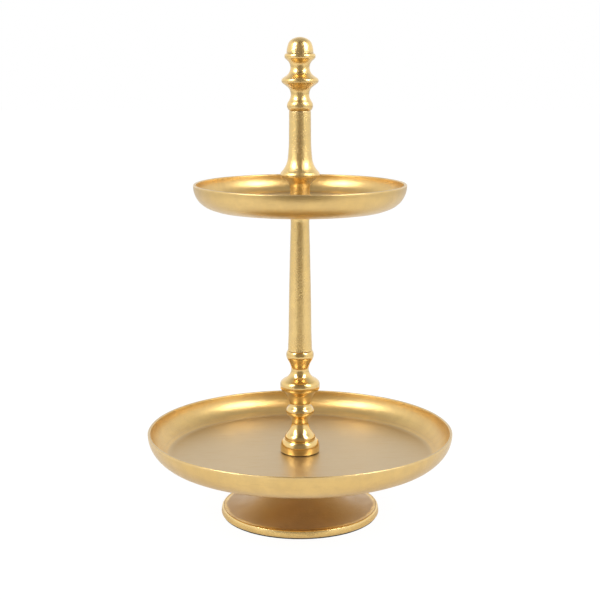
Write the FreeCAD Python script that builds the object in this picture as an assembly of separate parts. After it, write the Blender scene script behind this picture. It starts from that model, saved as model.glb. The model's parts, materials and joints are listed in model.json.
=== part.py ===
import FreeCAD, Part
import math
import os

# Two-tier cake stand in cast aluminium, screwed together by hand on steel studs.
# Millimetres. +Z is the axis of the stand, and the origin is at the centre of its foot, on the table.

# ---- Driving sizes -------------------------------------------------------------------------------

# Foot
foot_radius = 78.4
foot_height = 57.8  # from the underside of the casting to the top of its crown
foot_wall = 4.0
foot_rim_height = 7.2
foot_rim_land = 3.7  # flat ring between the rim's edge and the crease where the flare starts
foot_neck_radius = 25.0
foot_crown_radius = 33.0
foot_crown_edge = 3.0
foot_crown_flare = 10.8  # height of the flare from the neck up to the crown's edge
crown_web = 5.0  # metal between the bolt's pocket and the nut's recess

# Ring pad under the foot
pad_thickness = 1.2
pad_width = 5.4
pad_inset = 1.4  # from the edge of the foot's underside

# Trays
lower_tray_radius = 150.0
lower_tray_depth = 26.2
upper_tray_radius = 102.0
upper_tray_depth = 26.6
tray_thickness = 3.2
lip_thickness = 2.8
wall_reach = 18.4  # how far a tray's wall leans out between its heel and its rim
lower_wall_swell = 4.4
upper_wall_swell = 5.0
upper_dish_radius = 56.0  # flat middle of the upper tray
upper_dish_rise = 3.0  # how much the upper tray's bottom climbs from there to its heel

# Column and handle
base_collar_radius = 19.2
shaft_length = 135.9
shaft_seat_radius = 11.5
handle_seat_radius = 14.0
grip_length = 29.4

# Washers and gaskets, all let in a little from the edge of what they lie under
gasket_thickness = 0.6
washer_thickness = 0.6
washer_inset = 0.9

# Threaded parts. Threads are plain cylinders of the thread's outer size.
stud_radius = 3.96
knob_stud_radius = 2.97
thread_clearance = 0.05
passing_clearance = 0.35  # around a stud where it goes through a tray, gasket or washer
stud_end_gap = 1.2  # air beyond the end of a stud in its hole
thread_hold = 12.5  # length of thread in each hand-screwed joint
stud_hold = 14.0  # length of a fixed stud inside each of the two pieces that it joins
knob_stud_hold = 8.0
tip_chamfer = 0.6
bolt_head_flats = 13.0
bolt_head_height = 5.3
nut_flats = 13.0
nut_height = 4.0
spring_washer_outer = 6.7
spring_washer_height = 1.8
spring_washer_slot = 1.2
hexagon_clearance = 0.2
nut_recess_clearance = 1.5  # around the nut's corners
recess_depth_gap = 0.4  # the nut's top lies this far below the crown

# ---- Turned shapes -------------------------------------------------------------------------------
# Each row is one stretch of a turned surface, from the bottom up:
# (name, height of the stretch, radius at its top, swell). Swell is how far the middle of the
# stretch stands out from a straight line, and it is negative in a hollow.

base_collar_turning = [
    ("skirt", 4.6, 19.5, 0.1),
    ("dome", 7.8, 16.8, 0.6),
]

baluster_foot_radius = 15.2
baluster_turning = [
    ("foot ring", 1.0, 15.2, 0.0),
    ("shoulder", 4.1, 13.8, 0.35),
    ("lower flare", 11.8, 8.1, -1.15),
    ("lower neck", 6.7, 10.9, -0.7),
    ("lower bead", 9.7, 11.3, 2.85),
    ("middle neck", 3.5, 10.4, -0.15),
    ("stem", 5.9, 12.3, -0.35),
    ("cup", 7.7, 18.9, -0.8),
    ("disc edge", 5.1, 19.6, 0.15),
    ("disc shoulder", 3.6, 18.3, 0.35),
    ("disc top", 2.5, 14.6, 0.25),
    ("upper flare", 9.1, 8.6, -1.45),
    ("upper neck", 8.0, 11.1, -0.5),
    ("bead foot", 3.0, 12.9, 0.0),
    ("upper bead", 8.0, 12.3, 1.0),
]

shaft_foot_radius = 12.1
shaft_cove = ("cove", 4.5, 11.7, -0.15)
shaft_swell = ("swell", 11.6, 11.25, 0.0)
shaft_taper_top_radius = 8.9
shaft_taper_swell = 0.25
shaft_seat_flare = 9.4
shaft_seat_hollow = -0.5

handle_turning = [
    ("base edge", 2.2, 14.0, 0.3),
    ("base flare", 12.9, 9.4, -1.3),
    ("neck", 8.2, 10.6, -0.4),
    ("skirt cup", 6.4, 18.6, -0.1),
    ("skirt edge", 1.8, 19.0, 0.2),
    ("skirt shoulder", 2.4, 18.2, 0.2),
    ("skirt flare", 14.2, 11.6, -1.45),
    ("grip foot", 14.1, 10.6, -0.15),
    ("grip", grip_length, 10.4, 0.0),
]

finial_foot_radius = 10.4
finial_turning = [
    ("foot", 0.6, 10.7, 0.0),
    ("bead", 8.6, 10.8, 1.7),
    ("lower neck", 12.1, 10.7, -2.0),
    ("disc cup", 4.7, 16.9, -0.1),
    ("disc edge", 4.4, 16.8, 0.9),
    ("disc top", 3.0, 12.3, 0.0),
    ("upper neck", 12.0, 10.5, -2.3),
    ("ring cup", 2.8, 13.6, -0.1),
    ("ring", 5.4, 13.4, 1.4),
]

knob_foot_radius = 12.9
knob_turning = [
    ("groove", 0.7, 12.8, -0.2),
    ("wall", 5.8, 11.8, 0.15),
    ("shoulder", 5.6, 8.8, 0.55),
]
knob_crown_height = 2.9  # round cap that closes the top


def height_of(turning):
    return sum(row[1] for row in turning)


# ---- Levels, stacked from the table up -----------------------------------------------------------

foot_bottom = pad_thickness
crown_top = foot_bottom + foot_height
lower_tray_bottom = crown_top + gasket_thickness
lower_tray_floor = lower_tray_bottom + tray_thickness
column_seat = lower_tray_floor + washer_thickness
baluster_seat = column_seat + height_of(base_collar_turning)
shaft_seat = baluster_seat + height_of(baluster_turning)
shaft_top = shaft_seat + shaft_length
upper_tray_bottom = shaft_top + gasket_thickness
upper_tray_floor = upper_tray_bottom + tray_thickness
handle_seat = upper_tray_floor + washer_thickness
finial_seat = handle_seat + height_of(handle_turning)
knob_seat = finial_seat + height_of(finial_turning)

nut_top = crown_top - recess_depth_gap
nut_bottom = nut_top - nut_height
recess_floor = nut_bottom - spring_washer_height
pocket_roof = recess_floor - crown_web
pocket_depth = bolt_head_height + 0.6
crown_underside = pocket_roof - pocket_depth
nut_recess_radius = nut_flats / 2 / math.cos(math.pi / 6) + nut_recess_clearance


# ---- Outlines and solids -------------------------------------------------------------------------

class Outline:
    # A closed outline in the plane of radius and height. It is followed with the metal on the left,
    # so a positive swell always stands out of the metal, and then it is turned about the axis.
    def __init__(self, radius, height):
        self.first = FreeCAD.Vector(radius, 0, height)
        self.last = self.first
        self.edges = []

    def to(self, radius, height, swell=0.0):
        end = FreeCAD.Vector(radius, 0, height)
        run = end - self.last
        if abs(swell) < 1e-9:
            self.edges.append(Part.makeLine(self.last, end))
        else:
            outward = FreeCAD.Vector(run.z, 0, -run.x).normalize()
            middle = self.last + run * 0.5 + outward * swell
            self.edges.append(Part.Arc(self.last, middle, end).toShape())
        self.last = end
        return self

    def follow(self, turning):
        for name, rise, radius, swell in turning:
            self.to(radius, self.last.z + rise, swell)
        return self

    def close_cap(self, height):
        # A round cap from here to the axis, with its centre on the axis
        ball = (self.last.x ** 2 + height ** 2) / (2 * height)
        half_turn = math.asin(self.last.x / ball) / 2
        return self.to(0, self.last.z + height, ball * (1 - math.cos(half_turn)))

    def turned(self):
        self.to(self.first.x, self.first.z)
        face = Part.Face(Part.Wire(self.edges))
        return face.revolve(FreeCAD.Vector(0, 0, 0), FreeCAD.Vector(0, 0, 1), 360)


def turned_piece(foot_edge, seat, turning):
    outline = Outline(0, seat).to(foot_edge, seat).follow(turning)
    return outline.to(0, outline.last.z).turned()


def cylinder(radius, bottom, top):
    return Part.makeCylinder(radius, top - bottom, FreeCAD.Vector(0, 0, bottom))


def ring(inner, outer, bottom, top):
    return cylinder(outer, bottom, top).cut(cylinder(inner, bottom, top))


def hexagon(across_flats, bottom, top):
    corner = across_flats / 2 / math.cos(math.pi / 6)
    points = []
    for step in range(7):
        turn = step * math.pi / 3
        points.append(FreeCAD.Vector(corner * math.cos(turn), corner * math.sin(turn), bottom))
    return Part.Face(Part.makePolygon(points)).extrude(FreeCAD.Vector(0, 0, top - bottom))


def rounded_hexagon(across_flats, bottom, top, both_ends):
    # A hexagon whose corners are turned down at 30 degrees, on its upper end or on both
    corner = across_flats / 2 / math.cos(math.pi / 6)
    fall = (corner - across_flats / 2) * math.tan(math.pi / 6) * 1.4
    bottom_fall = 0.0
    if both_ends:
        bottom_fall = fall
    outline = Outline(0, bottom).to(across_flats / 2 * 0.96, bottom)
    outline.to(corner * 1.001, bottom + bottom_fall).to(corner * 1.001, top - fall)
    outline.to(across_flats / 2 * 0.96, top).to(0, top)
    return hexagon(across_flats, bottom, top).common(outline.turned())


def stud(radius, bottom, top):
    outline = Outline(0, bottom).to(radius - tip_chamfer, bottom).to(radius, bottom + tip_chamfer)
    outline.to(radius, top - tip_chamfer).to(radius - tip_chamfer, top).to(0, top)
    return outline.turned()


def threaded_hole(radius, bottom, top):
    return cylinder(radius + thread_clearance, bottom, top)


# ---- Foot ----------------------------------------------------------------------------------------

def foot_casting():
    rim_top = foot_bottom + foot_rim_height
    crease = foot_radius - foot_rim_land
    neck = crown_top - foot_crown_edge - foot_crown_flare
    knee_radius = foot_neck_radius + 0.3 * (crease - foot_neck_radius)
    knee = rim_top + 0.36 * (neck - rim_top)
    inner_rim = foot_radius - pad_inset - pad_width - 0.8
    edge_radius = foot_radius - 0.9
    outline = Outline(inner_rim, foot_bottom).to(edge_radius, foot_bottom)
    outline.to(foot_radius, foot_bottom + 1.6, 0.25).to(foot_radius, rim_top - 1.3)
    outline.to(foot_radius - 1.3, rim_top, 0.38).to(crease, rim_top, 0.12)
    outline.to(knee_radius, knee, -3.2).to(foot_neck_radius, neck, -2.4)
    outline.to(foot_crown_radius, crown_top - foot_crown_edge, -1.8)
    outline.to(foot_crown_radius, crown_top, 0.3).to(0, crown_top).to(0, crown_underside)
    outline.to(foot_neck_radius - foot_wall - 0.4, crown_underside)
    outline.to(knee_radius - 0.62 * foot_wall, knee - 0.78 * foot_wall, 2.2)
    outline.to(inner_rim, foot_bottom + 2.6, 3.4)
    casting = outline.turned()
    pocket = hexagon(bolt_head_flats + 2 * hexagon_clearance, crown_underside, pocket_roof)
    bolt_hole = cylinder(stud_radius + passing_clearance, pocket_roof, recess_floor)
    recess = cylinder(nut_recess_radius, recess_floor, crown_top)
    return casting.cut(pocket).cut(bolt_hole).cut(recess)


def foot_ring_pad():
    outer = foot_radius - pad_inset
    return ring(outer - pad_width, outer, 0, pad_thickness)


def foot_bolt():
    head_bottom = pocket_roof - bolt_head_height
    top = baluster_seat + thread_hold
    head = rounded_hexagon(bolt_head_flats, head_bottom, pocket_roof, False)
    head = head.mirror(FreeCAD.Vector(0, 0, (head_bottom + pocket_roof) / 2), FreeCAD.Vector(0, 0, 1))
    return head.fuse(stud(stud_radius, head_bottom + tip_chamfer, top)).removeSplitter()


def foot_bolt_nut():
    nut = rounded_hexagon(nut_flats, nut_bottom, nut_top, True)
    return nut.cut(threaded_hole(stud_radius, nut_bottom, nut_top))


def foot_bolt_spring_washer():
    washer = ring(stud_radius + passing_clearance, spring_washer_outer, recess_floor, nut_bottom)
    slot = Part.makeBox(spring_washer_outer, spring_washer_slot, spring_washer_height)
    slot.translate(FreeCAD.Vector(0, -spring_washer_slot / 2, recess_floor))
    return washer.cut(slot)


def crown_gasket():
    return ring(nut_recess_radius, foot_crown_radius - washer_inset, crown_top, lower_tray_bottom)


# ---- Trays ---------------------------------------------------------------------------------------

def tray(rim_radius, bottom, depth, wall_swell, dish_radius, dish_rise):
    rim_top = bottom + depth
    heel_radius = rim_radius - wall_reach
    heel = bottom + dish_rise
    floor = bottom + tray_thickness
    lip_round = 0.32 * lip_thickness
    cove_radius = heel_radius + 1.6
    outline = Outline(0, bottom)
    if dish_rise > 0:
        outline.to(dish_radius, bottom).to(heel_radius - 3.0, heel - 0.4, -0.5)
    else:
        outline.to(heel_radius - 3.0, heel)
    outline.to(heel_radius + 1.4, heel + 0.5, 0.35)
    outline.to(rim_radius, rim_top - lip_round, wall_swell)
    outline.to(rim_radius - lip_round, rim_top, 0.2 * lip_round)
    outline.to(rim_radius - lip_thickness + lip_round, rim_top)
    outline.to(rim_radius - lip_thickness, rim_top - lip_round, 0.2 * lip_round)
    outline.to(cove_radius, heel + tray_thickness + 2.0, -wall_swell + 0.3)
    outline.to(heel_radius - 6.0, heel + tray_thickness - 0.15 * dish_rise, -0.5)
    if dish_rise > 0:
        outline.to(dish_radius, floor, 0.5)
    outline.to(0, floor)
    hole = cylinder(stud_radius + passing_clearance, bottom, floor)
    return outline.turned().cut(hole)


def lower_tray():
    return tray(lower_tray_radius, lower_tray_bottom, lower_tray_depth, lower_wall_swell, 0.0, 0.0)


def upper_tray():
    return tray(upper_tray_radius, upper_tray_bottom, upper_tray_depth, upper_wall_swell,
                upper_dish_radius, upper_dish_rise)


# ---- Column --------------------------------------------------------------------------------------

def column_seat_washer():
    hole = stud_radius + passing_clearance
    return ring(hole, base_collar_radius - washer_inset, lower_tray_floor, column_seat)


def base_collar():
    collar = turned_piece(base_collar_radius, column_seat, base_collar_turning)
    return collar.cut(cylinder(stud_radius + passing_clearance, column_seat, baluster_seat))


def lower_baluster():
    piece = turned_piece(baluster_foot_radius, baluster_seat, baluster_turning)
    bolt_end = baluster_seat + thread_hold + stud_end_gap
    stud_end = shaft_seat - stud_hold - stud_end_gap
    piece = piece.cut(threaded_hole(stud_radius, baluster_seat, bolt_end))
    return piece.cut(threaded_hole(stud_radius, stud_end, shaft_seat))


def column_joint_stud():
    return stud(stud_radius, shaft_seat - stud_hold, shaft_seat + stud_hold)


def column_shaft():
    taper_length = shaft_length - shaft_cove[1] - shaft_swell[1] - shaft_seat_flare
    turning = [
        shaft_cove,
        shaft_swell,
        ("taper", taper_length, shaft_taper_top_radius, shaft_taper_swell),
        ("seat flare", shaft_seat_flare, shaft_seat_radius, shaft_seat_hollow),
    ]
    shaft = turned_piece(shaft_foot_radius, shaft_seat, turning)
    shaft = shaft.cut(threaded_hole(stud_radius, shaft_seat, shaft_seat + stud_hold + stud_end_gap))
    return shaft.cut(threaded_hole(stud_radius, shaft_top - stud_hold - stud_end_gap, shaft_top))


def column_top_stud():
    return stud(stud_radius, shaft_top - stud_hold, handle_seat + thread_hold)


def shaft_gasket():
    hole = stud_radius + passing_clearance
    return ring(hole, shaft_seat_radius - washer_inset, shaft_top, upper_tray_bottom)


# ---- Handle --------------------------------------------------------------------------------------

def handle_seat_washer():
    hole = stud_radius + passing_clearance
    return ring(hole, handle_seat_radius - washer_inset, upper_tray_floor, handle_seat)


def handle_shaft():
    shaft = turned_piece(handle_seat_radius, handle_seat, handle_turning)
    screw_end = handle_seat + thread_hold + stud_end_gap
    stud_end = finial_seat - stud_hold - stud_end_gap
    shaft = shaft.cut(threaded_hole(stud_radius, handle_seat, screw_end))
    return shaft.cut(threaded_hole(knob_stud_radius, stud_end, finial_seat))


def handle_joint_stud():
    return stud(knob_stud_radius, finial_seat - stud_hold, finial_seat + stud_hold)


def finial():
    piece = turned_piece(finial_foot_radius, finial_seat, finial_turning)
    lower_end = finial_seat + stud_hold + stud_end_gap
    upper_end = knob_seat - knob_stud_hold - stud_end_gap
    piece = piece.cut(threaded_hole(knob_stud_radius, finial_seat, lower_end))
    return piece.cut(threaded_hole(knob_stud_radius, upper_end, knob_seat))


def knob_stud():
    return stud(knob_stud_radius, knob_seat - knob_stud_hold, knob_seat + knob_stud_hold)


def acorn_knob():
    outline = Outline(0, knob_seat).to(knob_foot_radius, knob_seat).follow(knob_turning)
    knob = outline.close_cap(knob_crown_height).turned()
    hole_end = knob_seat + knob_stud_hold + stud_end_gap
    return knob.cut(threaded_hole(knob_stud_radius, knob_seat, hole_end))


# ---- Write one file for each piece ---------------------------------------------------------------

pieces = [
    foot_ring_pad,
    foot_casting,
    foot_bolt,
    foot_bolt_spring_washer,
    foot_bolt_nut,
    crown_gasket,
    lower_tray,
    column_seat_washer,
    base_collar,
    lower_baluster,
    column_joint_stud,
    column_shaft,
    column_top_stud,
    shaft_gasket,
    upper_tray,
    handle_seat_washer,
    handle_shaft,
    handle_joint_stud,
    finial,
    knob_stud,
    acorn_knob,
]

os.makedirs("parts", exist_ok=True)
for make in pieces:
    shape = make()
    shape.exportStep("parts/" + make.__name__ + ".step")
    box = shape.BoundBox
    print(f"{make.__name__:26s} {shape.Volume / 1000:8.2f} cm3   z {box.ZMin:7.2f} to {box.ZMax:7.2f}"
          f"   solids {len(shape.Solids)} valid {shape.isValid()}")
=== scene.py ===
import json
import math

import bmesh
import bpy
import numpy as np
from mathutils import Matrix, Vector


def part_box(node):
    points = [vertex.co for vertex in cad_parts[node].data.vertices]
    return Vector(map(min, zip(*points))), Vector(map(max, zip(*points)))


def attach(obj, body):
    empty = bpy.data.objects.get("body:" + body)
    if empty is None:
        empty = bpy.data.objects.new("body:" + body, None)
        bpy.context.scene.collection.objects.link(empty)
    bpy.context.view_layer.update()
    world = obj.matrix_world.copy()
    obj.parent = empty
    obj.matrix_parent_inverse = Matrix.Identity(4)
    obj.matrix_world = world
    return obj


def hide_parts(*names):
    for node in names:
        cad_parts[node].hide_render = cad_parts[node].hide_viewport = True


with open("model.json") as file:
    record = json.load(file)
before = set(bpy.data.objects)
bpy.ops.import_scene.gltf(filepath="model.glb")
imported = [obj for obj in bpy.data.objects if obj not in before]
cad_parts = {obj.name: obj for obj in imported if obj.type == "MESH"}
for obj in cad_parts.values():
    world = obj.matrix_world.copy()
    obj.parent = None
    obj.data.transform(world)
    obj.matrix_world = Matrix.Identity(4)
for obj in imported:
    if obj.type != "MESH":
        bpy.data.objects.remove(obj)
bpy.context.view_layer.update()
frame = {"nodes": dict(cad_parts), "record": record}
cadNodes = frame["nodes"]
mm = 0.001
print("frame loaded:", len(cadNodes), "nodes")

# how an outline is read and worked over before it is spun into a mesh
outlineWork = dict(weld=0.002 * mm, onPlane=0.003 * mm, straight=0.0006 * mm, roundAbove=20.0,
                   roundShare=0.42, roundStep=14.0, hardAbove=65.0, smoothBelow=38.0)
wearSpread = dict(edgeBend=0.25, edgeSpan=1.2, edgeReach=0.9 * mm, hollowBend=0.08, hollowSpan=0.7,
                  hollowReach=1.7 * mm)


# Reading a turned outline back from the frame

def cutHalf(nodeName):
    # cuts the right-hand half of a piece by the upright plane y = 0, and returns its points and links
    cut = bmesh.new()
    cut.from_mesh(cadNodes[nodeName].data)
    bmesh.ops.remove_doubles(cut, verts=cut.verts, dist=outlineWork["weld"])
    whole = cut.verts[:] + cut.edges[:] + cut.faces[:]
    bmesh.ops.bisect_plane(cut, geom=whole, dist=0.0001 * mm, plane_co=(0, 0, 0),
                           plane_no=(1, 0, 0), clear_inner=True)
    whole = cut.verts[:] + cut.edges[:] + cut.faces[:]
    bmesh.ops.bisect_plane(cut, geom=whole, dist=0.001 * mm, plane_co=(0, 0, 0), plane_no=(0, 1, 0))
    bmesh.ops.remove_doubles(cut, verts=cut.verts, dist=outlineWork["weld"])
    near = outlineWork["onPlane"]
    points, links = {}, {}
    for edge in cut.edges:
        one, two = edge.verts
        if max(abs(one.co.y), abs(two.co.y)) > near or max(one.co.x, two.co.x) < near:
            continue
        for vert, other in ((one, two), (two, one)):
            points[vert.index] = (max(vert.co.x, 0.0), vert.co.z)
            links.setdefault(vert.index, []).append(other.index)
    cut.free()
    return points, links


def readOutline(nodeName):
    # the outline as (radius, height) points in order, anticlockwise, and whether it closes on itself
    points, links = cutHalf(nodeName)
    ends = [index for index, near in links.items() if len(near) == 1]
    closed = not ends
    start = min(ends or links, key=lambda index: (points[index][1], points[index][0]))
    order, before, here = [start], None, start
    while True:
        onward = [index for index in links[here] if index != before]
        if not onward or onward[0] == start:
            break
        before, here = here, onward[0]
        order.append(here)
    outline = dropStraight(np.array([points[index] for index in order]), closed)
    nextOne = np.roll(outline, -1, axis=0)
    if np.sum(outline[:, 0] * nextOne[:, 1] - nextOne[:, 0] * outline[:, 1]) < 0:
        outline = outline[::-1]
    return outline, closed


def dropStraight(outline, closed):
    # leaves out the points that lie on a straight line between their neighbours
    kept = list(outline)
    index = 0 if closed else 1
    while index < len(kept) - (0 if closed else 1):
        a, p, b = kept[index - 1], kept[index], kept[(index + 1) % len(kept)]
        along = b - a
        length = math.hypot(*along)
        off = abs(along[0] * (p[1] - a[1]) - along[1] * (p[0] - a[0])) / max(length, 1e-9)
        if off < outlineWork["straight"]:
            kept.pop(index)
            index = max(index - 1, 0 if closed else 1)
        else:
            index += 1
    return np.array(kept)


def unit(v):
    return v / max(math.hypot(*v), 1e-12)


def roundCorners(outline, closed, edgeRound):
    # every corner that turns enough gets a small round of that radius, where there is room
    rounded = []
    count = len(outline)
    for index, p in enumerate(outline):
        if not closed and index in (0, count - 1):
            rounded.append(p)
            continue
        a, b = outline[index - 1], outline[(index + 1) % count]
        back, on = unit(a - p), unit(b - p)
        turn = math.pi - math.acos(max(-1.0, min(1.0, float(back @ on))))
        if turn < math.radians(outlineWork["roundAbove"]) or p[0] < 0.05 * mm:
            rounded.append(p)
            continue
        room = outlineWork["roundShare"] * min(math.hypot(*(a - p)), math.hypot(*(b - p)))
        reach = min(edgeRound * math.tan(turn / 2), room)
        steps = max(3, round(math.degrees(turn) / outlineWork["roundStep"]))
        weight = math.cos(turn / 2)
        for step in range(steps + 1):
            t = step / steps
            wa, wp, wb = (1 - t) ** 2, 2 * t * (1 - t) * weight, t * t
            rounded.append((wa * (p + back * reach) + wp * p + wb * (p + on * reach)) / (wa + wp + wb))
    return np.array(rounded)


def evenSteps(outline, closed, spacing):
    # divides long steps, and keeps curved stretches curved between the points
    count = len(outline)
    steps = [outline[(i + 1) % count] - outline[i] for i in range(count)]
    lengths = [max(math.hypot(*s), 1e-9) for s in steps]
    tangents = []
    for i in range(count):
        before, after = steps[i - 1], steps[i]
        la, lb = lengths[i - 1], lengths[i]
        if not closed and i == 0:
            tangents.append(unit(after))
        elif not closed and i == count - 1:
            tangents.append(unit(before))
        elif la > 3 * lb:
            tangents.append(unit(before))
        elif lb > 3 * la:
            tangents.append(unit(after))
        else:
            tangents.append(unit(before * (lb / la) + after * (la / lb)))
    result = []
    for i in range(count if closed else count - 1):
        p, q = outline[i], outline[(i + 1) % count]
        m, n = tangents[i] * lengths[i], tangents[(i + 1) % count] * lengths[i]
        parts = max(1, math.ceil(lengths[i] / spacing))
        for part in range(parts):
            t = part / parts
            result.append(p * (2 * t ** 3 - 3 * t * t + 1) + m * (t ** 3 - 2 * t * t + t)
                          + q * (3 * t * t - 2 * t ** 3) + n * (t ** 3 - t * t))
    if not closed:
        result.append(outline[-1])
    result = np.array(result)
    result[:, 0] = np.maximum(result[:, 0], 0.0)
    return result


def turnBetween(before, after):
    # how far each step turns from the one before it, positive where the outline stands out
    return np.arctan2(before[:, 0] * after[:, 1] - before[:, 1] * after[:, 0],
                      np.sum(before * after, axis=1))


def hardCorners(outline, closed):
    # the sharp corners, and the two ends of an outline that starts on the axis
    before, after = outline - np.roll(outline, 1, axis=0), np.roll(outline, -1, axis=0) - outline
    keep = np.abs(turnBetween(before, after)) > math.radians(outlineWork["hardAbove"])
    if not closed:
        keep[0] = keep[-1] = True
    return outline[keep]


def softenBends(line, hard, size):
    # shallow bends flow as a polishing wheel leaves them, and the hard corners stay
    steps = np.hypot(*(np.roll(line, -1, axis=0) - line).T)
    place = np.concatenate([[0.0], np.cumsum(steps[:-1])])
    toHard = np.min(np.hypot(line[:, None, 0] - hard[None, :, 0],
                             line[:, None, 1] - hard[None, :, 1]), axis=1)
    spread = size * np.clip(toHard / (2.5 * size) - 0.25, 0.02, 1.0)
    share = np.exp(-((place[:, None] - place[None, :]) / spread[:, None]) ** 2)
    share *= (0.5 * (steps + np.roll(steps, 1)) + 1e-7)[None, :]
    return share @ line / np.sum(share, axis=1)[:, None]


def wearMasks(outline, closed):
    # how sharp each point stands out and how deep it lies in, spread a little along the outline
    before, after = outline - np.roll(outline, 1, axis=0), np.roll(outline, -1, axis=0) - outline
    la = np.maximum(np.hypot(before[:, 0], before[:, 1]), 1e-7)
    lb = np.maximum(np.hypot(after[:, 0], after[:, 1]), 1e-7)
    bend = turnBetween(before, after) / (0.5 * (la + lb)) * mm
    if not closed:
        bend[0] = bend[-1] = 0.0
    edge = np.clip((bend - wearSpread["edgeBend"]) / wearSpread["edgeSpan"], 0, 1)
    hollow = np.clip((-bend - wearSpread["hollowBend"]) / wearSpread["hollowSpan"], 0, 1)
    place = np.cumsum(la)
    gap = np.abs(place[:, None] - place[None, :])
    edge = np.max(edge[None, :] * np.exp(-(gap / wearSpread["edgeReach"]) ** 2), axis=1)
    hollow = np.max(hollow[None, :] * np.exp(-(gap / wearSpread["hollowReach"]) ** 2), axis=1)
    return edge, hollow


# Making the meshes

def hexRadius(acrossFlats, angle):
    # distance from the axis to a hexagon's side, with a corner at angle 0
    return acrossFlats / 2 / np.cos(np.mod(angle, math.pi / 3) - math.pi / 6)


def unevenAmount(co, size, seed):
    # slow waves from 0 to 1, as a casting or a hand-held polishing wheel leaves them
    chance = np.random.default_rng(seed)
    total = np.zeros(len(co))
    weights = 0.0
    for wave in range(9):
        direction = chance.normal(size=3)
        direction /= np.linalg.norm(direction)
        length = size * chance.uniform(0.45, 1.6)
        weight = length / size
        total += weight * np.sin(co @ direction * 2 * math.pi / length + chance.uniform(0, 6.28))
        weights += weight
    return np.clip(0.5 + 1.1 * total / weights, 0, 1)


def gridMesh(name, grid, closed, extra=None):
    # grid is rows x turns x 3; a row on the axis becomes one point
    rows, turns = grid.shape[:2]
    verts, index, values = [], [], {key: [] for key in (extra or {})}
    for row in range(rows):
        onAxis = abs(grid[row, 0, 0]) < 1e-8 and abs(grid[row, 0, 1]) < 1e-8
        count = 1 if onAxis else turns
        index.append([len(verts) + (0 if onAxis else turn) for turn in range(turns)])
        verts.extend(grid[row, :count].tolist())
        for key in values:
            values[key].extend([float(extra[key][row])] * count)
    faces = []
    for row in range(rows if closed else rows - 1):
        low, high = index[row], index[(row + 1) % rows]
        for turn in range(turns):
            after = (turn + 1) % turns
            corners = []
            for corner in (low[turn], low[after], high[after], high[turn]):
                if corner not in corners:
                    corners.append(corner)
            if len(corners) > 2:
                faces.append(corners)
    mesh = bpy.data.meshes.new(name)
    mesh.from_pydata(verts, [], faces)
    for key, value in values.items():
        mesh.attributes.new(key, "FLOAT", "POINT").data.foreach_set("value", value)
    return tidyMesh(mesh)


def tidyMesh(mesh):
    tidy = bmesh.new()
    tidy.from_mesh(mesh)
    bmesh.ops.remove_doubles(tidy, verts=tidy.verts, dist=0.0005 * mm)
    bmesh.ops.dissolve_degenerate(tidy, edges=tidy.edges, dist=0.0002 * mm)
    bmesh.ops.recalc_face_normals(tidy, faces=tidy.faces)
    tidy.to_mesh(mesh)
    tidy.free()
    mesh.shade_smooth()
    mesh.set_sharp_from_angle(angle=math.radians(outlineWork["smoothBelow"]))
    return mesh


def pressIn(mesh, size, depth, seed):
    # moves the skin inward by up to depth, so that the piece never grows
    count = len(mesh.vertices)
    co = np.empty(count * 3)
    normals = np.empty(count * 3)
    mesh.vertices.foreach_get("co", co)
    mesh.vertices.foreach_get("normal", normals)
    co, normals = co.reshape(-1, 3), normals.reshape(-1, 3)
    amount = 0.75 * unevenAmount(co, size, seed) + 0.25 * unevenAmount(co, size / 4, seed + 50)
    co = co - normals * (depth * amount)[:, None]
    mesh.vertices.foreach_set("co", co.ravel())
    mesh.update()


def bodyOf(nodeName):
    for body, members in frame["record"]["behaviour"]["bodies"].items():
        if nodeName in members:
            return body


def place(mesh, spec, material):
    piece = bpy.data.objects.new(spec["name"], mesh)
    bpy.context.scene.collection.objects.link(piece)
    mesh.materials.append(material)
    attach(piece, bodyOf(spec["node"]))
    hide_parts(spec["node"])
    return piece


def turnedPiece(spec, material):
    outline, closed = readOutline(spec["node"])
    hard = hardCorners(outline, closed)
    outline = roundCorners(outline, closed, spec["edgeRound"])
    outline = evenSteps(outline, closed, spec["spacing"])
    if "flow" in spec:
        outline = softenBends(outline, hard, spec["flow"])
    edge, hollow = wearMasks(outline, closed)
    angle = np.arange(spec["turns"]) * 2 * math.pi / spec["turns"]
    radius = np.repeat(outline[:, :1], spec["turns"], axis=1)
    height = np.repeat(outline[:, 1:], spec["turns"], axis=1)
    if "reshape" in spec:
        radius, height = spec["reshape"](radius, height, angle[None, :])
    grid = np.stack([radius * np.cos(angle), radius * np.sin(angle), height], axis=2)
    mesh = gridMesh(spec["name"], grid, closed, {"edge": edge, "hollow": hollow})
    if spec.get("unevenDepth"):
        pressIn(mesh, spec["unevenSize"], spec["unevenDepth"], spec["seed"])
    return place(mesh, spec, material)


# Node helpers

def addNode(tree, kind, inputs=None, **settings):
    made = tree.nodes.new("ShaderNode" + kind)
    for key, value in settings.items():
        setattr(made, key, value)
    for key, value in (inputs or {}).items():
        if isinstance(value, bpy.types.NodeSocket):
            tree.links.new(value, made.inputs[key])
        else:
            made.inputs[key].default_value = value
    return made


def calc(tree, operation, a, b=0.0, clamp=False):
    return addNode(tree, "Math", {0: a, 1: b}, operation=operation, use_clamp=clamp).outputs[0]


def ramp(tree, value, low, high, outLow=0.0, outHigh=1.0):
    made = addNode(tree, "MapRange", {"Value": value, "From Min": low, "From Max": high,
                                      "To Min": outLow, "To Max": outHigh},
                   interpolation_type="SMOOTHSTEP")
    return made.outputs["Result"]


def mixValue(tree, factor, a, b):
    made = addNode(tree, "Mix", {0: factor, 2: a, 3: b}, data_type="FLOAT")
    return made.outputs[0]


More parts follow.
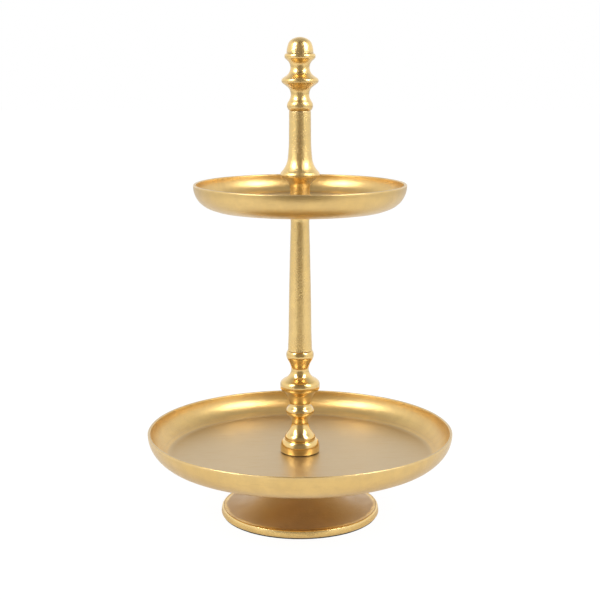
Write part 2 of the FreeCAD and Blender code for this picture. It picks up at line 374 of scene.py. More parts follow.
def blendColor(tree, factor, a, b):
    made = addNode(tree, "Mix", data_type="RGBA")
    for socket, value in ((made.inputs[0], factor), (made.inputs[6], a), (made.inputs[7], b)):
        if isinstance(value, bpy.types.NodeSocket):
            tree.links.new(value, socket)
        else:
            socket.default_value = value
    return made.outputs[2]


def noise(tree, vector, scale, detail=2.0, rough=0.5, w=None):
    inputs = {"Vector": vector, "Scale": scale, "Detail": detail, "Roughness": rough}
    if w is not None:
        inputs["W"] = w
    return addNode(tree, "TexNoise", inputs,
                   noise_dimensions="4D" if w is not None else "3D").outputs["Fac"]


def newGroup(name, inputs, outputs):
    tree = bpy.data.node_groups.new(name, "ShaderNodeTree")
    for label, kind, value in inputs:
        socket = tree.interface.new_socket(name=label, in_out="INPUT", socket_type="NodeSocket" + kind)
        if value is not None:
            socket.default_value = value
    for label in outputs:
        tree.interface.new_socket(name=label, in_out="OUTPUT", socket_type="NodeSocketFloat")
    return tree, tree.nodes.new("NodeGroupInput").outputs, tree.nodes.new("NodeGroupOutput").inputs


def useGroup(tree, group, inputs):
    made = tree.nodes.new("ShaderNodeGroup")
    made.node_tree = group
    for key, value in inputs.items():
        if isinstance(value, bpy.types.NodeSocket):
            tree.links.new(value, made.inputs[key])
        else:
            made.inputs[key].default_value = value
    return made.outputs


# Shared effects

def makeCastGrain():
    # the pebbled skin that sand or plaster leaves on a casting, with a few small pits
    tree, given, out = newGroup("castGrain", [("Vector", "Vector", None), ("Scale", "Float", 900.0),
                                              ("Pits", "Float", 0.3)], ["Height", "Mottle"])
    coarse = noise(tree, given["Vector"], given["Scale"], 3.0, 0.55)
    finer = noise(tree, given["Vector"], calc(tree, "MULTIPLY", given["Scale"], 3.3), 2.0, 0.5)
    pits = addNode(tree, "TexVoronoi", {"Vector": given["Vector"],
                                        "Scale": calc(tree, "MULTIPLY", given["Scale"], 0.45)})
    pitMask = ramp(tree, pits.outputs["Distance"], 0.05, 0.32, 1.0, 0.0)
    lot = addNode(tree, "SeparateColor", {0: pits.outputs["Color"]}).outputs[0]
    chosen = ramp(tree, lot, 0.78, 0.92)
    pitMask = calc(tree, "MULTIPLY", calc(tree, "MULTIPLY", pitMask, chosen), given["Pits"])
    body = calc(tree, "ADD", calc(tree, "MULTIPLY", coarse, 0.72), calc(tree, "MULTIPLY", finer, 0.28))
    tree.links.new(calc(tree, "SUBTRACT", body, pitMask), out["Height"])
    patches = noise(tree, given["Vector"], calc(tree, "MULTIPLY", given["Scale"], 0.11), 4.0, 0.62)
    tree.links.new(ramp(tree, patches, 0.34, 0.68), out["Mottle"])
    return tree


def makeTurningLines():
    # hairlines that run round the piece, broken up as emery cloth on a lathe leaves them
    tree, given, out = newGroup("turningLines", [("Vector", "Vector", None), ("Density", "Float", 1800.0),
                                                 ("Length", "Float", 5.0)], ["Height", "Streak"])
    split = addNode(tree, "SeparateXYZ", {0: given["Vector"]}).outputs
    flat = addNode(tree, "CombineXYZ", {0: split[0], 1: split[1]}).outputs[0]
    radius = addNode(tree, "VectorMath", {0: flat}, operation="LENGTH").outputs["Value"]
    around = addNode(tree, "VectorMath", {0: flat}, operation="NORMALIZE").outputs[0]
    around = addNode(tree, "SeparateXYZ", {0: around}).outputs
    lane = addNode(tree, "CombineXYZ", {0: calc(tree, "MULTIPLY", around[0], given["Length"]),
                                        1: calc(tree, "MULTIPLY", around[1], given["Length"]),
                                        2: calc(tree, "MULTIPLY", radius, given["Density"])}).outputs[0]
    level = calc(tree, "MULTIPLY", split[2], given["Density"])
    lines = noise(tree, lane, 1.0, 3.0, 0.6, w=level)
    tree.links.new(lines, out["Height"])
    tree.links.new(ramp(tree, lines, 0.56, 0.74), out["Streak"])
    return tree


def makeBrushedAcross():
    # straight strokes from side to side over the flat floor of a tray
    tree, given, out = newGroup("brushedAcross", [("Vector", "Vector", None), ("Density", "Float", 700.0),
                                                  ("Length", "Float", 30.0)], ["Height", "Streak"])
    split = addNode(tree, "SeparateXYZ", {0: given["Vector"]}).outputs
    bow = calc(tree, "MULTIPLY", noise(tree, given["Vector"], 9.0, 1.0), 0.004)
    lane = addNode(tree, "CombineXYZ", {0: calc(tree, "MULTIPLY", split[0], given["Length"]),
                                        1: calc(tree, "MULTIPLY", calc(tree, "ADD", split[1], bow),
                                                given["Density"])}).outputs[0]
    lines = noise(tree, lane, 1.0, 4.0, 0.62)
    tree.links.new(lines, out["Height"])
    tree.links.new(ramp(tree, lines, 0.52, 0.72), out["Streak"])
    return tree


def makeHairScratches():
    # thin random scratches from wiping and washing
    tree, given, out = newGroup("hairScratches", [("Vector", "Vector", None), ("Scale", "Float", 60.0),
                                                  ("Share", "Float", 0.3)], ["Mask"])
    found = None
    for turn, stretch, shift in ((0.5, 9.0, 0.0), (-0.9, 7.0, 3.7), (1.9, 12.0, 8.1)):
        bent = addNode(tree, "Mapping", {"Vector": given["Vector"], "Rotation": (turn, 0.4 * turn, turn),
                                         "Location": (shift, shift, 0), "Scale": (1.0, stretch, stretch)})
        cells = addNode(tree, "TexVoronoi", {"Vector": bent.outputs[0], "Scale": given["Scale"]},
                        feature="DISTANCE_TO_EDGE")
        line = ramp(tree, cells.outputs["Distance"], 0.0, 0.022, 1.0, 0.0)
        found = line if found is None else calc(tree, "MAXIMUM", found, line)
    broken = ramp(tree, noise(tree, given["Vector"], calc(tree, "MULTIPLY", given["Scale"], 2.3), 3.0),
                  0.55, 0.7)
    tree.links.new(calc(tree, "MULTIPLY", calc(tree, "MULTIPLY", found, broken), given["Share"]),
                   out["Mask"])
    return tree


def makeRubbedEdges():
    # worn where edges stand out, darker where the polishing wheel can't reach
    tree, given, out = newGroup("rubbedEdges", [("Vector", "Vector", None), ("Break", "Float", 220.0)],
                                ["Edge", "Hollow"])
    broken = ramp(tree, noise(tree, given["Vector"], given["Break"], 4.0, 0.6), 0.3, 0.62, 0.6, 1.0)
    edge = addNode(tree, "Attribute", attribute_name="edge").outputs["Fac"]
    hollow = addNode(tree, "Attribute", attribute_name="hollow").outputs["Fac"]
    tree.links.new(calc(tree, "MULTIPLY", edge, broken), out["Edge"])
    tree.links.new(calc(tree, "MULTIPLY", hollow, calc(tree, "SUBTRACT", 1.25, broken)), out["Hollow"])
    return tree


def makeToneDrift():
    # slow change of tone over the plating, and wiped patches that shine a little differently
    tree, given, out = newGroup("toneDrift", [("Vector", "Vector", None), ("Scale", "Float", 14.0)],
                                ["Tone", "Wiped"])
    slow = noise(tree, given["Vector"], given["Scale"], 3.0, 0.55)
    wiped = addNode(tree, "TexNoise", {"Vector": given["Vector"], "Detail": 4.0, "Distortion": 0.8,
                                       "Scale": calc(tree, "MULTIPLY", given["Scale"], 2.7)}).outputs["Fac"]
    tree.links.new(ramp(tree, slow, 0.3, 0.7), out["Tone"])
    tree.links.new(ramp(tree, wiped, 0.38, 0.66), out["Wiped"])
    return tree


castGrain = makeCastGrain()
turningLines = makeTurningLines()
brushedAcross = makeBrushedAcross()
hairScratches = makeHairScratches()
rubbedEdges = makeRubbedEdges()
toneDrift = makeToneDrift()
print("shared effects made")


# Finishes

def startMaterial(name):
    material = bpy.data.materials.new(name)
    material.use_nodes = True
    tree = material.node_tree
    shader = tree.nodes["Principled BSDF"]
    where = addNode(tree, "TexCoord").outputs["Object"]
    return material, tree, shader, where


def goldFinish(name, spec):
    material, tree, shader, where = startMaterial(name)
    drift = useGroup(tree, toneDrift, {"Vector": where, "Scale": spec["driftScale"]})
    grain = useGroup(tree, castGrain, {"Vector": where, "Scale": spec["grainScale"], "Pits": spec["pits"]})
    lines = useGroup(tree, turningLines, {"Vector": where, "Density": spec["lineDensity"],
                                          "Length": spec["lineLength"]})
    marks = useGroup(tree, hairScratches, {"Vector": where, "Scale": spec["scratchScale"],
                                           "Share": spec["scratches"]})
    worn = useGroup(tree, rubbedEdges, {"Vector": where, "Break": spec["wearBreak"]})
    level = addNode(tree, "SeparateXYZ", {0: where}).outputs[2]
    streak, lineHeight, grainShare = lines["Streak"], lines["Height"], 1.0
    streakTone = spec["streakTone"]
    if "brushDensity" in spec:  # the flat floor is brushed straight across instead of turned
        brush = useGroup(tree, brushedAcross, {"Vector": where, "Density": spec["brushDensity"],
                                               "Length": spec["brushLength"]})
        facing = addNode(tree, "SeparateXYZ", {0: tree.nodes["Texture Coordinate"].outputs["Normal"]})
        floorBrushAndPaintedReflectionMask = ramp(tree, facing.outputs[2], spec["floorFrom"], spec["floorTo"])
        streak = mixValue(tree, floorBrushAndPaintedReflectionMask, streak, brush["Streak"])
        lineHeight = mixValue(tree, floorBrushAndPaintedReflectionMask, lineHeight, brush["Height"])
        grainShare = mixValue(tree, floorBrushAndPaintedReflectionMask, 1.0, spec["floorGrain"])
        streakTone = mixValue(tree, floorBrushAndPaintedReflectionMask, streakTone, spec["brushTone"])
    color = blendColor(tree, drift["Tone"], (*spec["gold"], 1), (*spec["deepGold"], 1))
    color = blendColor(tree, calc(tree, "MULTIPLY", grain["Mottle"], spec["mottle"]), color,
                       (*spec["mottleGold"], 1))
    rough = calc(tree, "ADD", spec["roughness"], calc(tree, "MULTIPLY", drift["Wiped"], spec["wiped"]))
    # upward-facing flats also get a darker, duller gold, a painted reflection of the floor seen at a
    # grazing angle; the added roughness is the real brushed finish
    if "brushDensity" in spec:
        color = blendColor(tree, floorBrushAndPaintedReflectionMask, color, (*spec["floorPaintedReflectionGold"], 1))
        rough = calc(tree, "ADD", rough, calc(tree, "MULTIPLY", floorBrushAndPaintedReflectionMask, spec["floorRough"]))
    if "dullAbove" in spec:  # left as cast above this height, polished below it; the cast part's duller, darker gold is also painted shade and reflection on the cone under the tray
        dull = ramp(tree, level, spec["dullAbove"] - spec["dullEdge"], spec["dullAbove"])
        castAndPaintedShadeTone = blendColor(tree, drift["Tone"], (*spec["castAndPaintedShadeGold"], 1), (*spec["castAndPaintedShadeDeep"], 1))
        color = blendColor(tree, dull, color, castAndPaintedShadeTone)
        rough = calc(tree, "ADD", rough, calc(tree, "MULTIPLY", dull, spec["dullRough"]))
    color = blendColor(tree, calc(tree, "MULTIPLY", worn["Hollow"], spec["patina"]), color,
                       (*spec["patinaGold"], 1))
    color = blendColor(tree, calc(tree, "MULTIPLY", streak, streakTone), color,
                       (*spec["mottleGold"], 1))
    bare = calc(tree, "MAXIMUM", calc(tree, "MULTIPLY", worn["Edge"], spec["edgeWear"]),
                calc(tree, "MULTIPLY", marks["Mask"], spec["scratchBare"]))
    color = blendColor(tree, bare, color, (*spec["wornGold"], 1))
    rough = calc(tree, "ADD", rough, calc(tree, "MULTIPLY", grain["Mottle"], spec["mottleRough"]))
    rough = calc(tree, "ADD", rough, calc(tree, "MULTIPLY", streak, spec["lineRough"]))
    scratchRough = calc(tree, "MULTIPLY", marks["Mask"], spec["scratchRough"])
    rough = calc(tree, "ADD", rough, scratchRough, clamp=True)
    grainHeight = calc(tree, "MULTIPLY", calc(tree, "MULTIPLY", grain["Height"], spec["grainDepth"]),
                       grainShare)
    height = calc(tree, "ADD", grainHeight, calc(tree, "MULTIPLY", lineHeight, spec["lineDepth"]))
    height = calc(tree, "SUBTRACT", height, calc(tree, "MULTIPLY", marks["Mask"], spec["scratchDepth"]))
    bump = addNode(tree, "Bump", {"Strength": 1.0, "Distance": mm, "Height": height})
    tree.links.new(color, shader.inputs["Base Color"])
    tree.links.new(rough, shader.inputs["Roughness"])
    tree.links.new(bump.outputs[0], shader.inputs["Normal"])
    shader.inputs["Metallic"].default_value = 1.0
    shader.inputs["Coat Weight"].default_value = spec["lacquer"]
    shader.inputs["Coat Roughness"].default_value = spec["lacquerRough"]
    shader.inputs["Coat IOR"].default_value = spec["lacquerIor"]
    return material


# grain, line and scratch depths are in millimetres; scales and densities are per metre
goldCommon = dict(gold=(0.90, 0.64, 0.25), deepGold=(0.85, 0.585, 0.215), mottleGold=(0.74, 0.52, 0.22),
                  patinaGold=(0.34, 0.23, 0.11), wornGold=(0.96, 0.80, 0.50), driftScale=14.0,
                  lacquer=0.4, lacquerIor=1.5, streakTone=0.3, lineLength=5.0, wearBreak=260.0,
                  scratchDepth=0.0012, scratchBare=0.6, scratchRough=0.12)
# the trays' floor gold is a painted reflection: a darker, duller gold for the upward-facing floor
trayFinish = dict(goldCommon, gold=(0.79, 0.55, 0.21), deepGold=(0.74, 0.50, 0.18),
                  mottleGold=(0.60, 0.41, 0.17), roughness=0.29, wiped=0.02, mottle=0.35, mottleRough=0.015,
                  grainScale=760.0, grainDepth=0.26, pits=0.06, lineDensity=650.0, lineDepth=0.09,
                  lineRough=0.08, scratchScale=34.0, scratches=0.05, patina=0.35, edgeWear=0.2,
                  lacquerRough=0.28, brushDensity=560.0, brushLength=30.0, brushTone=0.6, floorGrain=0.25,
                  floorRough=0.13, floorPaintedReflectionGold=(0.61, 0.46, 0.25), floorFrom=0.90, floorTo=0.985)
# the foot's gold is brighter than the common gold, a painted highlight on the polished rim; its dull gold
# is the cast finish darkened as painted shade and reflection for the cone under the tray
footFinish = dict(goldCommon, gold=(0.96, 0.69, 0.27), deepGold=(0.91, 0.63, 0.235), roughness=0.19,
                  wiped=0.06, mottle=0.3, mottleRough=0.05, grainScale=520.0, grainDepth=0.12, pits=0.08,
                  lineDensity=620.0, lineDepth=0.07, lineRough=0.08, scratchScale=34.0, scratches=0.1,
                  patina=0.5, edgeWear=0.5, lacquerRough=0.24, lacquer=0.1, dullAbove=8.5 * mm,
                  dullEdge=0.2 * mm, castAndPaintedShadeGold=(0.72, 0.545, 0.355), castAndPaintedShadeDeep=(0.66, 0.49, 0.305),
                  dullRough=0.24)
polishedFinish = dict(goldCommon, roughness=0.14, wiped=0.06, mottle=0.25, mottleRough=0.04,
                      grainScale=420.0, grainDepth=0.06, pits=0.08, lineDensity=1500.0, lineDepth=0.008,
                      lineRough=0.05, scratchScale=60.0, scratches=0.1, patina=0.6, edgeWear=0.3,
                      lacquerRough=0.12)
finialFinish = dict(polishedFinish, roughness=0.21, grainScale=560.0, grainDepth=0.24, mottle=0.4,
                    mottleRough=0.06, lacquerRough=0.18)
satinFinish = dict(goldCommon, gold=(0.94, 0.68, 0.27), deepGold=(0.89, 0.62, 0.235), roughness=0.2,
                   wiped=0.06, mottle=0.5, mottleRough=0.06, grainScale=720.0, grainDepth=0.4, pits=0.1,
                   lineDensity=1500.0, lineDepth=0.012, lineRough=0.05, scratchScale=60.0, scratches=0.1,
                   patina=0.5, edgeWear=0.35, lacquerRough=0.18)

trayGold = goldFinish("trayGold", trayFinish)
footGold = goldFinish("footGold", footFinish)
polishedGold = goldFinish("polishedGold", polishedFinish)
finialGold = goldFinish("finialGold", finialFinish)
satinGold = goldFinish("satinGold", satinFinish)


def zincFinish(name, spec):
    material, tree, shader, where = startMaterial(name)
    drift = useGroup(tree, toneDrift, {"Vector": where, "Scale": spec["driftScale"]})
    lines = useGroup(tree, turningLines, {"Vector": where, "Density": spec["lineDensity"],
                                          "Length": spec["lineLength"]})
    marks = useGroup(tree, hairScratches, {"Vector": where, "Scale": spec["scratchScale"],
                                           "Share": spec["scratches"]})
    color = blendColor(tree, drift["Tone"], (*spec["zinc"], 1), (*spec["dullZinc"], 1))
    color = blendColor(tree, marks["Mask"], color, (*spec["bareSteel"], 1))
    rough = calc(tree, "ADD", spec["roughness"], calc(tree, "MULTIPLY", drift["Wiped"], spec["wiped"]))
    rough = calc(tree, "ADD", rough, calc(tree, "MULTIPLY", lines["Streak"], spec["lineRough"]))
    bump = addNode(tree, "Bump", {"Strength": 1.0, "Distance": mm,
                                  "Height": calc(tree, "MULTIPLY", lines["Height"], spec["lineDepth"])})
    tree.links.new(color, shader.inputs["Base Color"])
    tree.links.new(rough, shader.inputs["Roughness"])
    tree.links.new(bump.outputs[0], shader.inputs["Normal"])
    shader.inputs["Metallic"].default_value = 1.0
    return material


zincSteel = zincFinish("zincSteel", dict(zinc=(0.60, 0.61, 0.62), dullZinc=(0.46, 0.46, 0.45),
                                         bareSteel=(0.74, 0.74, 0.75), roughness=0.28, wiped=0.14,
                                         driftScale=160.0, lineDensity=6000.0, lineLength=3.0,
                                         lineDepth=0.004, lineRough=0.08, scratchScale=180.0,
                                         scratches=0.5))


softCommon = dict(driftScale=60.0, toneRough=0.12, ior=1.47)


def softFinish(name, spec):
    # foam, fibre or clear plastic: fine cells, dust in patches
    material, tree, shader, where = startMaterial(name)
    grain = useGroup(tree, castGrain, {"Vector": where, "Scale": spec["cellScale"], "Pits": spec["pits"]})
    drift = useGroup(tree, toneDrift, {"Vector": where, "Scale": softCommon["driftScale"]})
    color = blendColor(tree, grain["Mottle"], (*spec["color"], 1), (*spec["paler"], 1))
    color = blendColor(tree, calc(tree, "MULTIPLY", drift["Wiped"], spec["dust"]), color,
                       (*spec["dustColor"], 1))
    rough = calc(tree, "ADD", spec["roughness"], calc(tree, "MULTIPLY", drift["Tone"],
                                                      softCommon["toneRough"]))
    bump = addNode(tree, "Bump", {"Strength": 1.0, "Distance": mm,
                                  "Height": calc(tree, "MULTIPLY", grain["Height"], spec["cellDepth"])})
    tree.links.new(color, shader.inputs["Base Color"])
    tree.links.new(rough, shader.inputs["Roughness"])
    tree.links.new(bump.outputs[0], shader.inputs["Normal"])
    shader.inputs["Transmission Weight"].default_value = spec.get("clear", 0.0)
    shader.inputs["IOR"].default_value = softCommon["ior"]
    return material


blackFoam = softFinish("blackFoam", dict(color=(0.012, 0.012, 0.013), paler=(0.03, 0.029, 0.028),
                                         dustColor=(0.11, 0.10, 0.09), dust=0.25, roughness=0.74,
                                         cellScale=1500.0, cellDepth=0.09, pits=0.8))
darkFibre = softFinish("darkFibre", dict(color=(0.020, 0.014, 0.010), paler=(0.045, 0.032, 0.022),
                                         dustColor=(0.12, 0.10, 0.08), dust=0.15, roughness=0.6,
                                         cellScale=1300.0, cellDepth=0.04, pits=0.4))
clearPlastic = softFinish("clearPlastic", dict(color=(0.86, 0.86, 0.83), paler=(0.72, 0.72, 0.69),
                                               dustColor=(0.62, 0.60, 0.55), dust=0.2, roughness=0.3,
                                               cellScale=900.0, cellDepth=0.01, pits=0.1, clear=0.6))
print("finishes made")


# Foot

footCasting = dict(name="footCasting", node="foot_casting", slot="gold_foot", turns=288, spacing=1.6 * mm,
                   edgeRound=0.45 * mm, unevenDepth=0.16 * mm, unevenSize=26 * mm, seed=4,
                   pocketFlats=13.4 * mm, rimFoot=2.2 * mm, rimTop=8.4 * mm, rimInner=76.5 * mm,
                   rimLean=1.0 * mm, headHeight=5.3 * mm, pocketSpare=0.6 * mm, boltHole=4.31 * mm)


def hexPocket(radius, height, angle):
    # pulls the round pocket's wall and roof in to a hexagon that holds the bolt's head
    corner = footCasting["pocketFlats"] / 2 / math.cos(math.pi / 6)
    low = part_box("foot_bolt")[0].z - footCasting["pocketSpare"] - 0.5 * mm
    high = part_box("foot_bolt")[0].z + footCasting["headHeight"] + 0.1 * mm
    hole = footCasting["boltHole"]
    inPocket = (height > low) & (height < high) & (radius > hole + 0.01 * mm) & (radius < corner + 0.3 * mm)
    side = hexRadius(footCasting["pocketFlats"], angle)
    pulled = hole + (radius - hole) * (side - hole) / (corner - hole)
    return np.where(inPocket, pulled, radius), height


def shapeFoot(radius, height, angle):
    # the rim band leans in a little towards its top, and the pocket becomes a hexagon
    radius, height = hexPocket(radius, height, angle)
    rimFoot, rimTop = footCasting["rimFoot"], footCasting["rimTop"]
    outer = radius > footCasting["rimInner"]
    rise = np.clip((height - rimFoot) / (rimTop - rimFoot), 0, 1)
    return radius - outer * footCasting["rimLean"] * rise ** 1.6, height


footCasting["reshape"] = shapeFoot
turnedPiece(footCasting, footGold)

ringPad = dict(name="ringPad", node="foot_ring_pad", slot="black_pad", turns=240, spacing=0.8 * mm,
               edgeRound=0.3 * mm, unevenDepth=0.08 * mm, unevenSize=9 * mm, seed=5)
turnedPiece(ringPad, blackFoam)

crownGasket = dict(name="crownGasket", node="crown_gasket", slot="clear_gasket", turns=128,
                   spacing=0.8 * mm, edgeRound=0.15 * mm)
turnedPiece(crownGasket, clearPlastic)


# Bolt, studs, nut and spring washer

threadSpec = dict(depthShare=0.61, stepsPerPitch=8, turns=48, chamfer=0.7 * mm, chamferPitches=0.9,
                  fadePitches=0.8, flankSlope=1.3, crestCut=0.15)


def threadedRod(spec, lowEnd, material):
    # a rod whose skin follows the thread's helix, which fades in from a shank or starts at a chamfer
    pitch, top, low = spec["pitch"], spec["threadTop"], spec["threadBottom"]
    turns = spec.get("turns", threadSpec["turns"])
    count = math.ceil((top - low) / pitch * threadSpec["stepsPerPitch"])
    rows = list(lowEnd)
    for step in range(count + 1):
        rows.append((spec["radius"], low + (top - low) * step / count))
    rows.append((spec["radius"] - threadSpec["chamfer"], top))
    rows.append((0.0, top))
    rows = np.array(rows)
    angle = np.arange(turns) * 2 * math.pi / turns
    radius = np.repeat(rows[:, :1], turns, axis=1)
    height = np.repeat(rows[:, 1:], turns, axis=1)
    phase = np.mod(height / pitch - angle[None, :] / (2 * math.pi), 1.0)
    tooth = np.clip(np.abs(phase - 0.5) * 2 * threadSpec["flankSlope"] - threadSpec["crestCut"], 0, 1)
    fade = np.clip((height - low) / (threadSpec["fadePitches"] * pitch), 0, 1)
    chamferLength = threadSpec["chamferPitches"] * pitch
    chamfer = np.clip(1 - (top - height) / chamferLength, 0, 1)
    if spec.get("bothEnds"):
        chamfer = np.maximum(chamfer, np.clip(1 - (height - low) / chamferLength, 0, 1))
        fade = np.ones_like(fade)
    onThread = (np.abs(radius - spec["radius"]) < 0.01 * mm) & (height >= low)
    cut = tooth * threadSpec["depthShare"] * pitch * fade
    cut = np.maximum(cut, chamfer * threadSpec["chamfer"])
    radius = np.where(onThread, radius - cut, radius)
    if "flats" in spec:
        head = height < spec["headTop"] + 0.01 * mm
        radius = np.where(head, np.minimum(radius, hexRadius(spec["flats"], angle[None, :])), radius)
    grid = np.stack([radius * np.cos(angle), radius * np.sin(angle), height], axis=2)
    mesh = gridMesh(spec["name"], grid, False)
    return place(mesh, spec, material)


boltLow, boltTop = (end.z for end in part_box("foot_bolt"))
footBolt = dict(name="footBolt", node="foot_bolt", slot="zinc_steel", pitch=1.25 * mm, radius=3.96 * mm,
                flats=13.0 * mm, headTop=boltLow + 5.3 * mm, threadTop=boltTop,
                threadBottom=boltLow + 9.0 * mm, turns=96)
corner = footBolt["flats"] / 2 / math.cos(math.pi / 6)
boltHead = [(0.0, boltLow + 0.5 * mm), (3.2 * mm, boltLow + 0.5 * mm), (3.9 * mm, boltLow + 0.05 * mm),
            (6.1 * mm, boltLow), (6.3 * mm, boltLow + 0.04 * mm), (corner, boltLow + 0.72 * mm),
            (corner, footBolt["headTop"] - 0.1 * mm), (corner - 0.1 * mm, footBolt["headTop"]),
            (footBolt["radius"] + 0.25 * mm, footBolt["headTop"]),
            (footBolt["radius"], footBolt["headTop"] + 0.25 * mm)]
threadedRod(footBolt, boltHead, zincSteel)

studs = [
    dict(name="columnJointStud", node="column_joint_stud", pitch=1.25 * mm),
    dict(name="columnTopStud", node="column_top_stud", pitch=1.25 * mm),
    dict(name="handleJointStud", node="handle_joint_stud", pitch=1.0 * mm),
    dict(name="knobStud", node="knob_stud", pitch=1.0 * mm)]
for stud in studs:
    low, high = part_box(stud["node"])
    stud.update(slot="zinc_steel", radius=high.x, threadTop=high.z, threadBottom=low.z, bothEnds=True)
    threadedRod(stud, [(0.0, low.z), (stud["radius"] - threadSpec["chamfer"], low.z)], zincSteel)

boltNut = dict(name="boltNut", node="foot_bolt_nut", slot="zinc_steel", turns=96, spacing=0.7 * mm,
               edgeRound=0.12 * mm, flats=13.0 * mm)
boltNut["reshape"] = lambda radius, height, angle: (np.where(
    radius > 5 * mm, np.minimum(radius, hexRadius(boltNut["flats"], angle)), radius), height)
turnedPiece(boltNut, zincSteel)

springWasher = dict(name="springWasher", node="foot_bolt_spring_washer", slot="zinc_steel", inner=4.31 * mm,
                    outer=6.7 * mm, gap=math.radians(11), lean=math.radians(7), steps=120,
                    edgeRound=0.15 * mm)


def splitRing(spec, material):
    # a flat ring with one slanting cut through it
    low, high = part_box(spec["node"])
    height = high.z - low.z
    section = roundCorners(np.array([(spec["inner"], 0), (spec["outer"], 0), (spec["outer"], height),
                                     (spec["inner"], height)]), True, spec["edgeRound"])
    made = bmesh.new()
    rings = []
    for step in range(spec["steps"] + 1):
        t = step / spec["steps"]
        ring = []
        for radius, z in section:
            lean = spec["lean"] * (z / height - 0.5)
            angle = spec["gap"] / 2 + t * (2 * math.pi - spec["gap"]) + lean
            ring.append(made.verts.new((radius * math.cos(angle), radius * math.sin(angle), low.z + z)))
        rings.append(ring)
    count = len(section)
    for one, two in zip(rings, rings[1:]):
        for i in range(count):
            made.faces.new((one[i], one[(i + 1) % count], two[(i + 1) % count], two[i]))
    made.faces.new(rings[0][::-1])
    made.faces.new(rings[-1])
    mesh = bpy.data.meshes.new(spec["name"])
    made.to_mesh(mesh)
    made.free()
    return place(tidyMesh(mesh), spec, material)


splitRing(springWasher, zincSteel)
print("foot and its bolt made")


# Trays

lowerTray = dict(name="lowerTray", node="lower_tray", slot="gold_tray", turns=320, spacing=1.8 * mm,
                 edgeRound=0.6 * mm, unevenDepth=0.2 * mm, unevenSize=38 * mm, seed=11)
upperTray = dict(name="upperTray", node="upper_tray", slot="gold_tray", turns=288, spacing=1.6 * mm,
                 edgeRound=0.6 * mm, unevenDepth=0.18 * mm, unevenSize=32 * mm, seed=12)
turnedPiece(lowerTray, trayGold)
turnedPiece(upperTray, trayGold)
print("trays made")


# Column and handle

columnPieces = [
    dict(name="baseCollar", node="base_collar", slot="gold_polished", seed=21, finish=polishedGold),
    dict(name="lowerBaluster", node="lower_baluster", slot="gold_polished", seed=22, finish=polishedGold),
    dict(name="columnShaft", node="column_shaft", slot="gold_satin", seed=23, finish=satinGold),
    dict(name="handleShaft", node="handle_shaft", slot="gold_satin", seed=24, finish=satinGold),
    dict(name="finial", node="finial", slot="gold_polished", seed=25, finish=finialGold),
    dict(name="acornKnob", node="acorn_knob", slot="gold_polished", seed=26, finish=finialGold)]
for turned in columnPieces:
    turned.update(turns=144, spacing=0.8 * mm, edgeRound=0.3 * mm, flow=1.3 * mm, unevenDepth=0.06 * mm,
                  unevenSize=11 * mm)
    turnedPiece(turned, turned["finish"])

washers = [
    dict(name="columnWasher", node="column_seat_washer", slot="dark_washer", finish=darkFibre),
    dict(name="handleWasher", node="handle_seat_washer", slot="dark_washer", finish=darkFibre),
    dict(name="shaftGasket", node="shaft_gasket", slot="clear_gasket", finish=clearPlastic)]
for turned in washers:
    turned.update(turns=128, spacing=0.8 * mm, edgeRound=0.12 * mm)
    turnedPiece(turned, turned["finish"])
print("column and handle made")


# Studio

studio = dict(floorTone=(0.85, 0.85, 0.85), floorHalf=9.0, floorGlow=0.25, floorSeen=0.9, glowStrength=1.06,
              cardTone=(0.22, 0.19, 0.16), cardNear=0.75, cardFar=4.0, cardSlope=0.62, cardLift=0.002,
              plainRough=0.9, boxRadiance=11.0, boxAngle=58.0, boxDistance=1.5, boxWidth=0.42,
              boxHeight=0.72, boxMiddle=40.0, boxAim=0.2, roomBright=(1.0, 1.0, 1.0),
              roomDark=(0.30, 0.265, 0.23), darkFrom=0.62, darkTo=0.9, ceiling=0.5, ceilingFrom=0.45,
              ceilingTo=0.9)
view = dict(sensor=36.0, lens=77.88, distance=1.2383, height=0.4525, tilt=79.16)


def plainMaterial(name, tone):
    material, tree, shader, _ = startMaterial(name)
    shader.inputs["Base Color"].default_value = (*tone, 1)
    shader.inputs["Roughness"].default_value = studio["plainRough"]
    return material, tree, shader


def makeFloor():
    mesh = bpy.data.meshes.new("floor")
    half = studio["floorHalf"]
    mesh.from_pydata([(-half, -half, 0), (half, -half, 0), (half, half, 0), (-half, half, 0)], [],
                     [(0, 1, 2, 3)])
    floor = bpy.data.objects.new("floor", mesh)
    bpy.context.scene.collection.objects.link(floor)
    material, tree, shader = plainMaterial("paleFloor", studio["floorTone"])
    glow = addNode(tree, "Emission", {"Color": (1, 1, 1, 1), "Strength": studio["glowStrength"]})
    camera = addNode(tree, "LightPath").outputs["Is Camera Ray"]
    share = mixValue(tree, camera, studio["floorGlow"], studio["floorSeen"])
    mix = addNode(tree, "MixShader", {0: share, 1: shader.outputs[0], 2: glow.outputs[0]})
    # seen from below the floor is clear, so the underside can be looked at
    clear = addNode(tree, "BsdfTransparent").outputs[0]
    fromBelow = addNode(tree, "NewGeometry").outputs["Backfacing"]
    surface = addNode(tree, "MixShader", {0: fromBelow, 1: mix.outputs[0], 2: clear}).outputs[0]
    tree.links.new(surface, tree.nodes["Material Output"].inputs["Surface"])
    mesh.materials.append(material)


def makeDarkCard():
    # a dark wedge on the floor in front, seen only in the metal
    mesh = bpy.data.meshes.new("darkCard")
    near, far, lift = -studio["cardNear"], -studio["cardFar"], studio["cardLift"]
    nearHalf, farHalf = studio["cardNear"] * studio["cardSlope"], studio["cardFar"] * studio["cardSlope"]
    mesh.from_pydata([(-nearHalf, near, lift), (nearHalf, near, lift),
                      (farHalf, far, lift), (-farHalf, far, lift)], [], [(0, 1, 2, 3)])
    card = bpy.data.objects.new("darkCard", mesh)
    bpy.context.scene.collection.objects.link(card)
    mesh.materials.append(plainMaterial("darkCardboard", studio["cardTone"])[0])
    card.visible_camera = False


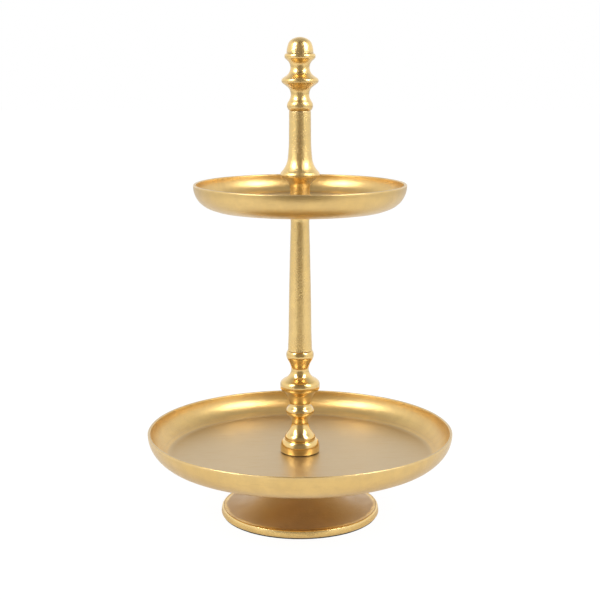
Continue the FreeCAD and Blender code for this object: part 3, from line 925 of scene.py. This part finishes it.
def makeSoftbox(name, azimuth):
    light = bpy.data.lights.new(name, "AREA")
    light.shape = "RECTANGLE"
    light.size, light.size_y = studio["boxWidth"], studio["boxHeight"]
    area = light.size * light.size_y
    light.energy = studio["boxRadiance"] * area * math.pi
    box = bpy.data.objects.new(name, light)
    bpy.context.scene.collection.objects.link(box)
    turn, lift = math.radians(azimuth), math.radians(studio["boxMiddle"])
    aim = Vector((0, 0, studio["boxAim"]))
    away = Vector((math.sin(turn) * math.cos(lift), -math.cos(turn) * math.cos(lift), math.sin(lift)))
    box.location = aim + away * studio["boxDistance"]
    box.rotation_euler = away.to_track_quat("Z", "Y").to_euler()
    box.visible_camera = False


def makeRoom():
    world = bpy.data.worlds.new("studioRoom")
    bpy.context.scene.world = world
    world.use_nodes = True
    tree = world.node_tree
    back = tree.nodes["Background"]
    split = addNode(tree, "SeparateXYZ", {0: addNode(tree, "TexCoord").outputs["Generated"]}).outputs
    flat = calc(tree, "SQRT", calc(tree, "ADD", calc(tree, "MULTIPLY", split[0], split[0]),
                                   calc(tree, "MULTIPLY", split[1], split[1])))
    front = calc(tree, "DIVIDE", calc(tree, "MULTIPLY", split[1], -1.0), calc(tree, "MAXIMUM", flat, 0.001))
    inFront = ramp(tree, front, studio["darkFrom"], studio["darkTo"])
    color = blendColor(tree, inFront, (*studio["roomBright"], 1), (*studio["roomDark"], 1))
    above = ramp(tree, split[2], studio["ceilingFrom"], studio["ceilingTo"], 1.0, studio["ceiling"])
    color = addNode(tree, "VectorMath", {0: color, "Scale": above}, operation="SCALE").outputs[0]
    camera = addNode(tree, "LightPath").outputs["Is Camera Ray"]
    tree.links.new(blendColor(tree, camera, color, (1, 1, 1, 1)), back.inputs["Color"])
    back.inputs["Strength"].default_value = 1.0


def makeCamera():
    data = bpy.data.cameras.new("camera")
    data.sensor_width = view["sensor"]
    data.lens = view["lens"]
    data.clip_end = 100.0
    camera = bpy.data.objects.new("camera", data)
    bpy.context.scene.collection.objects.link(camera)
    camera.location = (0.0, -view["distance"], view["height"])
    camera.rotation_euler = (math.radians(view["tilt"]), 0.0, 0.0)
    bpy.context.scene.camera = camera


makeFloor()
makeDarkCard()
makeSoftbox("softboxLeft", -studio["boxAngle"])
makeSoftbox("softboxRight", studio["boxAngle"])
makeRoom()
makeCamera()
bpy.context.scene.view_settings.view_transform = "Standard"
print("studio made")
